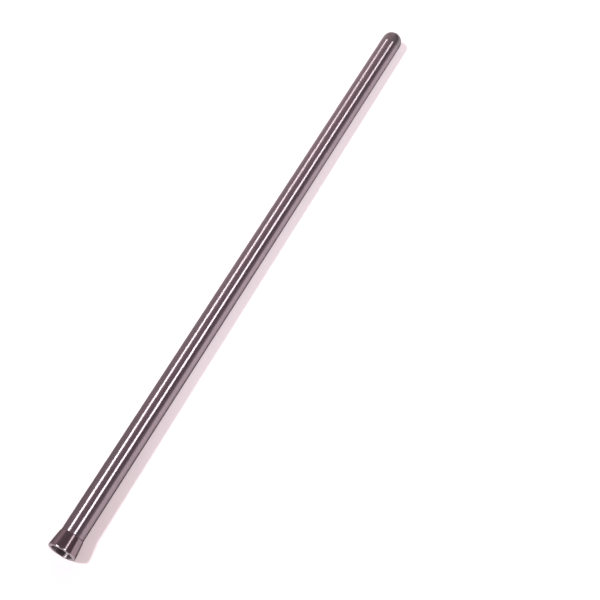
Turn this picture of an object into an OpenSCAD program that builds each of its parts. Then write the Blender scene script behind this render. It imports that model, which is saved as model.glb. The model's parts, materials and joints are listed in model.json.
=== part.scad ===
// Engine pushrod, made from one bar of steel.
// One end is upset into a flared cup, whose round seat takes the ball of a rocker's adjusting screw.
// The other end is ground to a ball of the bar's own diameter, which stands in the tappet.
// The rod lies as it does on a bench: it touches it with the rim of the cup end and with the ball.

/* [Bar] */
// Overall length, from the mouth of the cup to the tip of the ball
rod_length = 296; // [150:1:450]
// Diameter of the ground bar
shank_d = 9.5; // [8:0.1:11]

/* [Cup end] */
// Length of the flared end, from its mouth to its shoulder
cup_end_length = 7; // [5:0.1:14]
// Inside diameter of the cup
cup_d = 9; // [8:0.1:11]
// Width of the rim around the mouth of the cup
rim_w = 1.35; // [1:0.05:2.5]
// Depth of the straight land, from the mouth down to the round seat
cup_land = 2.5; // [1:0.1:5]
// Height of the shoulder where the flared end stands proud of the bar
shoulder_h = 0.25; // [0.1:0.05:0.4]

/* [Edges] */
// Radius of the outer edge of the rim
rim_round = 0.4; // [0.1:0.05:0.7]
// Chamfer of the inner edge of the rim
lip_chamfer = 0.2; // [0.05:0.05:0.3]
// Radius of the fillet from the shoulder down to the bar
root_r = 0.4; // [0.4:0.1:3]

/* [Hidden] */
$fn = 128;

// Cutters and trimming squares reach this far past the faces they cut
over = 1;

// Radii of the bar, its ball, the cup and the two ends of the flare
shank_r = shank_d / 2;
ball_r = shank_r;
cup_r = cup_d / 2;
mouth_r = cup_r + rim_w;
shoulder_r = shank_r + shoulder_h;

// Heights along the rod, measured from the mouth of the cup
root_run = sqrt(2 * root_r * shoulder_h - shoulder_h * shoulder_h);
shank_start = cup_end_length + root_run;
ball_z = rod_length - ball_r;

// The flare is one straight cone, drawn on past the shoulder to where the fillet reaches the bar
flare_angle = atan((mouth_r - shoulder_r) / cup_end_length);
flare_foot_x = mouth_r - shank_start * tan(flare_angle);

// The rim's round edge is an arc that touches both the mouth's plane and the flare
rim_arc_x = mouth_r - rim_round * (tan(flare_angle) + 1 / cos(flare_angle));
rim_touch_x = rim_arc_x + rim_round * cos(flare_angle);
rim_touch_z = rim_round * (1 + sin(flare_angle));

// Lying down, the rod dips towards the ball, because the rim is wider than the ball.
// Seen from the side, the bench touches the rim's arc and the ball, two circles on one line.
rest_reach = ball_z - rim_round;
rest_tilt = atan(rim_arc_x / rest_reach)
    - asin((ball_r - rim_round) / norm([rest_reach, rim_arc_x]));
mid_height = ball_r + (ball_z - rod_length / 2) * sin(rest_tilt);

// Half section of the flared end: round rim, straight flare, and a fillet that runs its shoulder out
module flare_section() {
    difference() {
        polygon([
            [0, 0],
            [rim_arc_x, 0],
            [rim_touch_x, rim_touch_z],
            [flare_foot_x, shank_start],
            [0, shank_start],
        ]);
        translate([shank_r + root_r, shank_start])
            circle(r = root_r);
    }
    translate([rim_arc_x, rim_round])
        circle(r = rim_round);
}

// Half section of the straight bar, with the quarter circle of its ball end
module shank_section() {
    square([shank_r, ball_z]);
    translate([0, ball_z])
        quarter_disc(ball_r);
}

// Half section of the cup: chamfered lip, straight land and round seat
module cup_section() {
    polygon([
        [0, -over],
        [cup_r + lip_chamfer + over, -over],
        [cup_r, lip_chamfer],
        [cup_r, cup_land],
        [0, cup_land],
    ]);
    translate([0, cup_land])
        quarter_disc(cup_r);
}

// Quarter of a disc, in the corner between both positive axes
module quarter_disc(r) {
    intersection() {
        circle(r = r);
        square(r + over);
    }
}

// The whole rod, turned about its axis and laid on the bench with its length along X
module pushrod() {
    color("#6e6469")
        translate([0, 0, mid_height])
        rotate([0, 90 + rest_tilt, 0])
        translate([0, 0, -rod_length / 2])
        rotate_extrude()
        difference() {
            union() {
                flare_section();
                shank_section();
            }
            cup_section();
        }
}

pushrod();
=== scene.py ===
# %% [markdown]
# # An engine pushrod
#
# A pushrod is a slim steel rod that carries the lift of a tappet up to a rocker arm. This one is a solid
# bar. One end is upset into a flared cup for the ball of the rocker's adjusting screw, and the other end
# is ground to a ball that stands in the tappet. It lies on a pale floor, as it would on a bench.
#
# The lesson turns the rod on a lathe made of two tools, Extrude and Spin. Then it gives each surface the
# finish that its own tool left on the steel, and ends with the floor, the lamps and the camera.

# %% Load the frame
import json
import math

import bmesh
import bpy
from mathutils import Matrix, Vector


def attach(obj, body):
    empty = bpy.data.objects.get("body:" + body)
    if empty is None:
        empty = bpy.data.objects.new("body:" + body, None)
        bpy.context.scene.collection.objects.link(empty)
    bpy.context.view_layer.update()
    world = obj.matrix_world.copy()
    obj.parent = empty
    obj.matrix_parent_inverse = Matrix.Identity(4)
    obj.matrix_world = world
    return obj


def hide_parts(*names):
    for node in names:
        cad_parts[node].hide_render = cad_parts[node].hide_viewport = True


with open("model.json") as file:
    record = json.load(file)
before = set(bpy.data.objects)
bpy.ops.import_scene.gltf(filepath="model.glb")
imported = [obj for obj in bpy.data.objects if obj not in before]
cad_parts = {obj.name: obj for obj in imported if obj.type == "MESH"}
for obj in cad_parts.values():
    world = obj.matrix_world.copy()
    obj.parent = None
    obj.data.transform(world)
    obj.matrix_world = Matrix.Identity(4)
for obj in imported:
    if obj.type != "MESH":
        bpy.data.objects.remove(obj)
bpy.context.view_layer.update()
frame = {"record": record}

# %% [markdown]
# ## Sizes
#
# The frame already knows the rod's fits: the bar, the cup and the ball are its mounts, with their radii,
# lengths and places. Reading them there keeps this model and the solid one alike. Only the sizes of the
# flare and of the small edges are written here, in millimetres, the unit that a drawing would use.

# %% Sizes from the mounts, and the rest given
MM = 0.001
mounts = {mount["name"]: mount for mount in frame["record"]["mounts"]}


def mount_size(name, size):
    """One size of a mount, in metres."""
    return mounts[name]["dims"][size] * MM


bar_r = mount_size("shank", "r_mm")
bar_length = mount_size("shank", "length_mm")
cup_r = mount_size("cup_seat", "r_mm")
land_length = mount_size("cup_seat", "length_mm")

flare_length = 7.0 * MM
rim_width = 1.35 * MM
rim_round = 0.4 * MM
lip_chamfer = 0.2 * MM
shoulder_height = 0.25 * MM
root_radius = 0.4 * MM
edge_break = 0.06 * MM
ball_collar = 3.4 * MM

mouth_r = cup_r + rim_width
shoulder_r = bar_r + shoulder_height
land_end = lip_chamfer + land_length
root_run = math.sqrt(2 * root_radius * shoulder_height - shoulder_height**2)
bar_start = flare_length + root_run
ball_height = bar_start + bar_length
rod_length = ball_height + bar_r
print(f"The rod is {rod_length / MM:.2f} mm long and {2 * bar_r / MM:.2f} mm thick")

# %% [markdown]
# ## Drawing the half section
#
# A turned part is half of its outline, swung round its axis. A cylinder could be dressed up with
# extruded rings instead, but its arcs would have to be guessed ring by ring. So one vertex is the pencil:
# Extrude draws a straight line with it, and Spin about a centre draws a true arc. The rod stands upright
# while it is drawn, with the mouth of its cup at height zero and its axis on Z.

# %% A vertex to draw with
bpy.ops.object.select_all(action="DESELECT")
bpy.ops.mesh.primitive_plane_add(size=MM)
rod = bpy.context.object
rod.name = rod.data.name = "pushrod_bar"
bpy.ops.object.mode_set(mode="EDIT")
bpy.ops.mesh.merge(type="CENTER")


def pencil():
    """The place of the selected vertex, which draws."""
    vertices = bmesh.from_edit_mesh(rod.data).verts
    return next(v.co.copy() for v in vertices if v.select)


def line_to(radius, height, steps=1):
    """Draws a straight line to a radius and a height, in equal steps."""
    step = (Vector((radius, 0, height)) - pencil()) / steps
    for _ in range(steps):
        bpy.ops.mesh.extrude_region_move(TRANSFORM_OT_translate={"value": step})


def arc_about(radius, height, degrees, steps):
    """Draws an arc about a centre; positive degrees turn from the axis outwards."""
    bpy.ops.mesh.spin(
        steps=steps, angle=-math.radians(degrees), center=(radius, 0, height), axis=(0, 1, 0)
    )


bpy.ops.transform.translate(value=(0, 0, land_end + cup_r))
print("The pencil starts at the bottom of the cup:", pencil())

# %% [markdown]
# ## The cup, the rim and the flare
#
# The outline starts on the axis at the bottom of the cup. A quarter circle is the round seat, a straight
# line is the land, and a small slope is the lip. Then come the flat rim, its round outer edge and the
# straight flare. The round edge has to touch both the rim and the flare, so its centre is worked out
# from the flare's angle. At the end of the flare, a fillet runs the shoulder out into the bar.
#
# The flare gets a ring of its own close to each end. These rings hold its shading: without them, the
# turning normals of the small round edges would bend the light over the whole straight flare.

# %% Draw the cup end
HOLD = 0.12 * MM
flare_angle = math.atan((mouth_r - shoulder_r) / flare_length)
rim_centre_r = mouth_r - rim_round * (math.tan(flare_angle) + 1 / math.cos(flare_angle))
root_angle = math.acos(1 - shoulder_height / root_radius)
hold_start = rim_round * (1 + math.sin(flare_angle)) + HOLD
hold_end = flare_length - HOLD


def flare_radius(height):
    """Radius of the straight flare at a height."""
    return mouth_r - height * math.tan(flare_angle)


arc_about(0, land_end, 90, steps=20)
line_to(cup_r, lip_chamfer, steps=3)
line_to(cup_r + lip_chamfer, 0)
line_to(rim_centre_r, 0, steps=2)
arc_about(rim_centre_r, rim_round, -90 - math.degrees(flare_angle), steps=10)
line_to(flare_radius(hold_start), hold_start)
line_to(flare_radius(hold_end), hold_end, steps=6)
line_to(shoulder_r, flare_length)
arc_about(bar_r + root_radius, bar_start, math.degrees(root_angle), steps=6)
print("The fillet ends at", pencil(), "and the bar starts at", (bar_r, bar_start))

# %% [markdown]
# ## The bar and the ball
#
# The bar is one long straight line, drawn in steps so that its faces don't become long slivers. The ball
# has the bar's own radius: a quarter circle takes the outline back to the axis, and the half section is
# closed.

# %% Draw the bar and the ball
BAR_STEPS = 48

line_to(bar_r, ball_height - ball_collar, steps=BAR_STEPS)
line_to(bar_r, ball_height, steps=2)
arc_about(0, ball_height, -90, steps=24)
print("The outline ends on the axis, at the tip of the ball:", pencil())

# %% [markdown]
# ## Broken edges
#
# No edge on a machined part is knife sharp. A file or a tumbler breaks it, and the tiny round that stays
# catches a bright line of light. Bevel rounds the three corners that the drawing left sharp: both edges
# of the lip, and the edge of the shoulder. The turned rod could be bevelled instead, but there each edge
# is a ring of many points. In the half section it is still a single one, found by its radius and height.

# %% Bevel the lip and the shoulder
NEAR = 0.01 * MM


def break_corner(radius, height):
    """Rounds the corner of the half section at a radius and a height."""
    corner = Vector((radius, 0, height))
    bpy.ops.mesh.select_all(action="DESELECT")
    section = bmesh.from_edit_mesh(rod.data)
    for vertex in section.verts:
        vertex.select_set((vertex.co - corner).length < NEAR)
    bmesh.update_edit_mesh(rod.data)
    bpy.ops.mesh.bevel(offset=edge_break, segments=3, affect="VERTICES")


break_corner(cup_r, lip_chamfer)
break_corner(cup_r + lip_chamfer, 0)
break_corner(shoulder_r, flare_length)
print("The half section has", len(bmesh.from_edit_mesh(rod.data).verts), "points")

# %% [markdown]
# ## Turning the section
#
# Spin swings the half section a full turn. The first and the last copy lie on each other and are merged,
# and the normals are worked out again afterwards, because a spun mesh can come out inside out. Spin also
# leaves its edges and faces in an order that changes from run to run. So they are sorted by their places
# along a slanted line, on which no two of them meet, and every run gives the same mesh.

# %% Turn the section
TURN_STEPS = 128
MERGE = 0.001 * MM
SLANT = Vector((1.0, 0.618, 0.414))

bpy.ops.mesh.select_all(action="SELECT")
bpy.ops.mesh.spin(steps=TURN_STEPS, angle=2 * math.pi, center=(0, 0, 0), axis=(0, 0, 1))
bpy.ops.mesh.select_all(action="SELECT")
bpy.ops.mesh.remove_doubles(threshold=MERGE)
bpy.ops.mesh.normals_make_consistent(inside=False)
mesh = bmesh.from_edit_mesh(rod.data)
mesh.edges.sort(key=lambda edge: (edge.verts[0].co + edge.verts[1].co).dot(SLANT))
mesh.faces.sort(key=lambda face: face.calc_center_median().dot(SLANT))
bmesh.update_edit_mesh(rod.data)
print("The turned rod has", len(mesh.faces), "faces")

# %% [markdown]
# ## Colours and nodes
#
# Colours are written as on a colour picker, in sRGB hex, and one function turns them to the linear
# values that shaders count in. Another adds a node to a material, with its settings and its links. A list
# fills the node's inputs in their order, and a node given as an input is linked by its first live output.
# A Mix node keeps its colours at inputs 6 and 7, after those for numbers and vectors.

# %% Helpers for materials


def colour(hex_code):
    """Linear RGBA of an sRGB hex colour."""
    parts = [int(hex_code[i : i + 2], 16) / 255 for i in (1, 3, 5)]
    linear = [p / 12.92 if p <= 0.04045 else ((p + 0.055) / 1.055) ** 2.4 for p in parts]
    return (*linear, 1.0)


def empty_material(name):
    """A new material with nothing in it yet, and its node tree."""
    material = bpy.data.materials.new(name)
    material.use_nodes = True
    material.node_tree.nodes.clear()
    return material, material.node_tree


def add(tree, kind, inputs=(), **settings):
    """Adds a node with its settings, and fills its inputs with values or with links from other nodes."""
    node = tree.nodes.new(kind)
    for name, value in settings.items():
        setattr(node, name, value)
    for socket, value in inputs.items() if isinstance(inputs, dict) else enumerate(inputs):
        if isinstance(value, bpy.types.Node):
            value = next(output for output in value.outputs if output.enabled)
        if isinstance(value, bpy.types.NodeSocket):
            tree.links.new(value, node.inputs[socket])
        else:
            node.inputs[socket].default_value = value
    return node


print("A mid grey of #808080 is", round(colour("#808080")[0], 3), "in linear light")

# %% [markdown]
# ## Two kinds of steel
#
# Every surface is the same steel, but each tool leaves it different. The bar was ground between two
# wheels, and the cup was bored on a lathe. Both leave countless fine scratches round the axis, far too
# fine to see one by one, but they spread each light along the rod into one long line. A rough shader would
# blur the light every way, so these finishes are anisotropic: rough along the rod and smooth around it.
# The other surfaces are smoother or duller and show no lay, so a plain roughness does for them.
#
# No steel is quite even. Its colour and its roughness drift a little from patch to patch, and noise makes
# such patches at a real size in millimetres.

# %% Make the two kinds of steel
# The bands of a dressed wheel are much finer than this. Drawn true to size, they would vanish in the render.
BAND_MM = 0.8
BAND_RUN_MM = 25
BAND_SHADES = (0.94, 1.04)
RELIEF_MM = 0.002
NOISE_SPAN = (0.3, 0.7)


def patches(tree, *sizes_mm):
    """Soft patches on the object, as large along its X, Y and Z as the sizes in millimetres."""
    place = add(tree, "ShaderNodeTexCoord").outputs["Object"]
    scale = tuple(1 / (size * MM) for size in sizes_mm)
    scaled = add(tree, "ShaderNodeMapping", {"Vector": place, "Scale": scale})
    return add(tree, "ShaderNodeTexNoise", {"Vector": scaled, "Scale": 1.0, "Detail": 4.0})


def clouded_steel(name, light, dark, patch_mm):
    """A new steel in patches of two colours: the material, its tree, its tint and its clouds."""
    material, tree = empty_material(name)
    clouds = patches(tree, patch_mm, patch_mm, patch_mm)
    tint = add(tree, "ShaderNodeMix", {0: clouds, 6: colour(light), 7: colour(dark)}, data_type="RGBA")
    return material, tree, tint, clouds


def finish_steel(tree, base, clouds, roughness, relief, **more):
    """Ends a steel with its shader, from its colour, its roughness in the clouds, and its relief."""
    rough = add(tree, "ShaderNodeMapRange", [clouds, *NOISE_SPAN, *roughness])
    bump = add(tree, "ShaderNodeBump", {"Height": relief, "Strength": 0.05, "Distance": RELIEF_MM * MM})
    inputs = {"Base Color": base, "Metallic": 1.0, "Roughness": rough, "Normal": bump}
    steel = add(tree, "ShaderNodeBsdfPrincipled", inputs | more)
    add(tree, "ShaderNodeOutputMaterial", {"Surface": steel})


def lathe_steel(name, light, dark, patch_mm, roughness):
    """Steel ground or bored round its axis, whose scratches spread the light along the rod."""
    material, tree, tint, clouds = clouded_steel(name, light, dark, patch_mm)
    bands = patches(tree, BAND_MM, BAND_RUN_MM, BAND_RUN_MM)
    shade = add(tree, "ShaderNodeMapRange", [bands, *NOISE_SPAN, *BAND_SHADES])
    shaded = {0: 1.0, 6: tint, 7: shade}
    base = add(tree, "ShaderNodeMix", shaded, data_type="RGBA", blend_type="MULTIPLY")
    round_axis = add(tree, "ShaderNodeTangent", direction_type="RADIAL", axis="X")
    lay = {"Anisotropic": 1.0, "Anisotropic Rotation": 0.25, "Tangent": round_axis}
    finish_steel(tree, base, clouds, roughness, bands, **lay)
    return material


def smooth_steel(name, light, dark, patch_mm, roughness):
    """Steel of an even finish, without a lay."""
    material, tree, tint, clouds = clouded_steel(name, light, dark, patch_mm)
    finish_steel(tree, tint, clouds, roughness, clouds)
    return material


print("The grinding bands are drawn", BAND_MM, "mm wide and", RELIEF_MM, "mm deep")

# %% [markdown]
# ## A finish for each surface
#
# The rod is one piece of steel, so it stays one mesh, and each face takes the finish of the surface that
# it lies on. Six objects would be simpler to paint, but their borders could come apart. While the rod
# still stands upright, a face's height and its distance from the axis say where it belongs.
#
# The faces are then shaded smooth, except over edges sharper than 30 degrees. The rod has large faces
# beside tiny ones, so a Weighted Normal modifier gives the large ones the greater say in the shading.

# %% Give each surface its finish
finishes = {
    # Centreless ground: bright, and every light on it is drawn out into one long line.
    "bar": lathe_steel("ground_bar_steel", "#a6999e", "#a0949a", patch_mm=12, roughness=(0.31, 0.35)),
    # Upset hot and then polished: a dark mirror, with narrow lines and clear borders in it.
    "flare": smooth_steel("upset_flare_steel", "#96888d", "#8f8186", patch_mm=2.5, roughness=(0.12, 0.135)),
    # The corner that no wheel reaches is duller, and its dark colour is painted shade:
    # a thin dark ring at the crease.
    "root": smooth_steel("root_steel_painted_shade", "#75696d", "#675c60", patch_mm=1, roughness=(0.25, 0.32)),
    # Faced on the lathe: the palest surface, with soft light and a bright edge.
    "rim": smooth_steel("faced_rim_steel", "#beb4b7", "#b2a8ab", patch_mm=1.5, roughness=(0.20, 0.28)),
    # Bored: the light that falls into the cup becomes one streak, from its mouth to its seat.
    "cup": lathe_steel("bored_cup_steel", "#aaa2a4", "#9e9698", patch_mm=1.5, roughness=(0.44, 0.50)),
    # Hardened and tumbled: greyer and softer, so that the bar's bright lines stop at its collar.
    "ball": smooth_steel("hardened_ball_steel", "#8e898b", "#848082", patch_mm=3, roughness=(0.28, 0.34)),
}
surfaces = list(finishes)


def surface_of(face):
    """The name of the surface that a face of the upright rod belongs to."""
    centre = face.calc_center_median()
    if centre.z > ball_height - ball_collar:
        return "ball"
    if centre.z > bar_start:
        return "bar"
    if centre.z > flare_length:
        return "root"
    if centre.xy.length < cup_r + NEAR:
        return "cup"
    return "rim" if centre.z < rim_round else "flare"


for finish in finishes.values():
    rod.data.materials.append(finish)
mesh = bmesh.from_edit_mesh(rod.data)
for face in mesh.faces:
    face.material_index = surfaces.index(surface_of(face))
bmesh.update_edit_mesh(rod.data)
bpy.ops.object.mode_set(mode="OBJECT")
bpy.ops.object.shade_smooth_by_angle(angle=math.radians(30))
bpy.ops.object.modifier_add(type="WEIGHTED_NORMAL")
rod.modifiers[-1].keep_sharp = True
bpy.ops.object.modifier_apply(modifier=rod.modifiers[-1].name)
face_finishes = [face.material_index for face in rod.data.polygons]
print("Faces of each finish:", {name: face_finishes.count(i) for i, name in enumerate(surfaces)})

# %% [markdown]
# ## Laying the rod down
#
# The rod was drawn upright, because that keeps the numbers plain. On the floor it lies on the rim of its
# cup end and on its ball, so it dips a little towards the ball. The mounts hold that direction and the
# ball's centre, so the rod is turned onto the one and moved to the other, and its place goes into its mesh.

# %% Turn the rod onto its mounts
to_ball = Vector(mounts["ball_end"]["axis"]).normalized()
ball_centre = Vector(mounts["ball_end"]["pos_m"])
turn = Vector((0, 0, 1)).rotation_difference(to_ball).to_matrix().to_4x4()
rod.matrix_world = Matrix.Translation(ball_centre) @ turn @ Matrix.Translation((0, 0, -ball_height))
bpy.ops.object.select_all(action="DESELECT")
rod.select_set(True)
bpy.ops.object.transform_apply(location=True, rotation=True, scale=True)
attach(rod, "root")
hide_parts("pushrod")
print("The lying rod reaches from", min(v.co.z for v in rod.data.vertices), "up")

# %% [markdown]
# ## Floor
#
# The floor is matt white paper. Its diffuse part takes the key lamp and so keeps the rod's shadow. The rest
# of its white is its own light, seen by the camera and more weakly by the steel, so that the shadow stays
# pale. That glow is painted shade as well. It is darker and pinker at the cup end and paler towards the
# ball, which sets how dark the shadow is along the rod. The steel sees none of it close beside the rod,
# which darkens the bar's lower edge. Steel shows what is round it, and beside a bare white floor it would
# lose its left edge. So a grey glow lies on that side, where a photographer would put a grey card: a painted
# reflection that only the steel sees.

# %% Lay the floor
FLOOR_SIZE = 8
bpy.ops.mesh.primitive_plane_add(size=FLOOR_SIZE)
floor = bpy.context.object
floor.name = "floor"
paper, tree = empty_material("white_paper_painted_shade")
spot = add(tree, "ShaderNodeSeparateXYZ", [add(tree, "ShaderNodeTexCoord").outputs["Object"]])
along = spot.outputs["X"]
across = spot.outputs["Y"]
path = add(tree, "ShaderNodeLightPath")
by_camera = path.outputs["Is Camera Ray"]
by_steel = path.outputs["Is Glossy Ray"]

# White paper: all of its own light reaches the camera, and a share of it the steel on its right side.
# Painted shade: the steel sees none of it nearer than 9.5 mm to the rod's axis,
# which darkens the bar's lower edge.
share = add(tree, "ShaderNodeMapRange", [across, -12.5 * MM, -9.5 * MM, 0.8, 0.0])
steel_glow_past_painted_shade = add(tree, "ShaderNodeMath", [by_steel, share], operation="MULTIPLY")
seen = add(tree, "ShaderNodeMath", [by_camera, steel_glow_past_painted_shade], operation="ADD")
# Painted shade: the glow runs from darker and pinker at the cup end to paler towards the ball, so that the
# shadow is darker near the cup end.
painted_shadow_fade = add(tree, "ShaderNodeMapRange", [along, -150 * MM, -60 * MM, 0.0, 1.0])
glow_tone_painted_shade = add(tree, "ShaderNodeMix", {0: painted_shadow_fade, 6: colour("#b9abac"), 7: colour("#d1c7ca")}, data_type="RGBA")
matt = add(tree, "ShaderNodeBsdfDiffuse", {"Color": colour("#eee9eb")})
glow = add(tree, "ShaderNodeEmission", {"Color": glow_tone_painted_shade, "Strength": seen})
lit = add(tree, "ShaderNodeAddShader", [matt, glow])

# Painted reflection of a grey card, a glow that only the steel sees: it starts under the rod's left side
# and at its mouth, and pales towards the ball.
past_edge = add(tree, "ShaderNodeMapRange", [across, 2 * MM, 8 * MM, 0.0, 1.0])
past_end = add(tree, "ShaderNodeMapRange", [along, -148 * MM, -145 * MM, 0.0, 1.0])
on_painted_card = add(tree, "ShaderNodeMath", [past_edge, past_end], operation="MULTIPLY")
painted_card_seen = add(tree, "ShaderNodeMath", [by_steel, on_painted_card], operation="MULTIPLY")
painted_card_level = add(tree, "ShaderNodeMapRange", [along, -150 * MM, 150 * MM, 0.28, 0.95])
painted_card_reflection = add(tree, "ShaderNodeEmission", {"Color": colour("#fff0f3"), "Strength": painted_card_level})
ground = add(tree, "ShaderNodeMixShader", [painted_card_seen, lit, painted_card_reflection])
add(tree, "ShaderNodeOutputMaterial", {"Surface": ground})
floor.data.materials.append(paper)
print("The paper is", FLOOR_SIZE, "m across, and its finish has", len(tree.nodes), "nodes")

# %% [markdown]
# ## Light
#
# One key lamp lights the paper and throws the rod's shadow. Two strip lights hang over the bench along the
# rod and make the two bright lines on the bar. A light shows in a round bar where the surface points half
# way between the light and the eye, so each strip's angle round the rod follows from where its line lies,
# and its ends follow from where the line fades. The right strip has a dim tail, which is all that the
# smooth flare shows of it. The steel doesn't see the key lamp, and the paper doesn't see the strips, so
# that the shadow and the bright lines can be set one by one.

# %% Hang the lamps
HANG = 2.0
# An area lamp of 4 watts to the square metre is as bright as white paper, which is level 1 here.
WATTS_FOR_WHITE = 4
key_along = math.radians(-17)
key_around = math.radians(25)
to_key = Vector(
    (
        math.sin(key_along),
        math.cos(key_along) * math.sin(key_around),
        math.cos(key_along) * math.cos(key_around),
    )
)


def hang(name, kind):
    """Adds a lamp of a kind, and returns its settings and the object that holds it."""
    lamp = bpy.data.lights.new(name, kind)
    holder = bpy.data.objects.new(name, lamp)
    bpy.context.collection.objects.link(holder)
    return lamp, holder


def hang_strip(name, around, width, start, end, level):
    """Hangs a strip light: its middle and width in degrees round the rod, its ends as slopes, its level."""
    lamp, holder = hang(name, "AREA")
    lamp.shape = "RECTANGLE"
    lamp.size = HANG * (end - start)
    lamp.size_y = 2 * HANG * math.tan(math.radians(width / 2))
    lamp.energy = WATTS_FOR_WHITE * level * lamp.size * lamp.size_y
    around = math.radians(around)
    holder.location = (HANG * (start + end) / 2, HANG * math.sin(around), HANG * math.cos(around))
    holder.rotation_euler.x = -around
    holder.visible_diffuse = False
    holder.visible_camera = False
    print(f"{name} is {lamp.size:.2f} m long and {lamp.size_y:.2f} m wide")


key, key_lamp = hang("key_lamp", "SUN")
key.energy = 1.95
key.angle = math.radians(7)
key_lamp.rotation_euler = to_key.to_track_quat("Z", "Y").to_euler()
key_lamp.visible_glossy = False
hang_strip("left_strip", around=37, width=11, start=-1.1, end=0.2, level=12.0)
hang_strip("right_strip", around=-28.2, width=12, start=-0.05, end=0.3, level=16.5)
hang_strip("right_strip_tail", around=-31, width=11, start=0.42, end=0.6, level=3.1)

# %% [markdown]
# ## The room
#
# The rest of what the steel shows is the room. An image of a real room could stand there, but a few painted
# walls are easier to set. They are painted on the world, by the angle round the rod and by how far along it
# a wall lies. The ceiling and the right wall are dim, which gives the steel its depth. The left wall, the
# ceiling's end and the end wall are paler, which lifts the far part of the bar. A white horizon on the right
# makes the pale band along the bar's lower side. The camera sees plain white there.

# %% Paint the room
world = bpy.data.worlds.new("dim_room_pale_horizon")
bpy.context.scene.world = world
world.use_nodes = True
tree = world.node_tree
tree.nodes.clear()
direction = add(tree, "ShaderNodeSeparateXYZ", [add(tree, "ShaderNodeTexCoord").outputs["Generated"]])
along = direction.outputs["X"]
turned = add(tree, "ShaderNodeMath", [direction.outputs["Y"], direction.outputs["Z"]], operation="ARCTAN2")
around = add(tree, "ShaderNodeMath", [turned], operation="DEGREES")

# Each wall runs from a first colour to a last one, between two places along or round the rod.
walls = {}
for name, place, start, end, first, last in (
    ("right wall", along, 0.1, 0.6, "#80717b", "#7f666d"),
    ("ceiling", along, 0.5, 0.6, "#82747b", "#d6a8b0"),
    ("left wall", along, 0.1, 0.6, "#857a80", "#f6dde2"),
    ("end wall", around, -20, 0, "#7d7276", "#e6cdd3"),
):
    share = add(tree, "ShaderNodeMapRange", [place, start, end, 0.0, 1.0])
    walls[name] = add(tree, "ShaderNodeMix", {0: share, 6: colour(first), 7: colour(last)}, data_type="RGBA")
walls["horizon"] = colour("#f7f2f4")

# The walls are painted over each other, each from the place where its border starts to where it ends.
room = walls["right wall"]
for name, place, start, end in (
    ("ceiling", around, -15, -5),
    ("left wall", around, 48, 58),
    ("end wall", along, 0.58, 0.68),
    ("horizon", around, -81, -84),
):
    share = add(tree, "ShaderNodeMapRange", [place, start, end, 0.0, 1.0])
    room = add(tree, "ShaderNodeMix", {0: share, 6: room, 7: walls[name]}, data_type="RGBA")
by_camera = add(tree, "ShaderNodeLightPath").outputs["Is Camera Ray"]
seen = add(tree, "ShaderNodeMix", {0: by_camera, 6: room, 7: colour("#ffffff")}, data_type="RGBA")
sky = add(tree, "ShaderNodeBackground", {"Color": seen, "Strength": 1.0})
add(tree, "ShaderNodeOutputWorld", {"Surface": sky})
print("The room has", ", ".join(walls))

# %% [markdown]
# ## Camera
#
# The camera looks down on the rod from its cup end. Its angle and its lens follow from two things in the
# picture: how fast the bar narrows with distance, and how flat the round mouth looks.

# %% Set the camera
FRAME_PX = 600
FOCAL_PX = 1187.5
SENSOR_MM = 36
camera_azimuth = math.radians(-62.85)
camera_elevation = math.radians(57.98)
camera_distance = 504.97 * MM
camera_aim = Vector((-6.21 * MM, -26.64 * MM, 0))

lens = bpy.data.cameras.new("bench_camera")
lens.sensor_width = SENSOR_MM
lens.lens = FOCAL_PX / FRAME_PX * SENSOR_MM
camera = bpy.data.objects.new("bench_camera", lens)
bpy.context.collection.objects.link(camera)
back = Vector(
    (
        math.sin(camera_azimuth) * math.cos(camera_elevation),
        -math.cos(camera_azimuth) * math.cos(camera_elevation),
        math.sin(camera_elevation),
    )
)
camera.location = camera_aim + back * camera_distance
camera.rotation_euler = (-back).to_track_quat("-Z", "Y").to_euler()
bpy.context.scene.camera = camera
bpy.context.scene.view_settings.view_transform = "Standard"
print(f"The camera has a lens of {lens.lens:.1f} mm and stands at", camera.location)
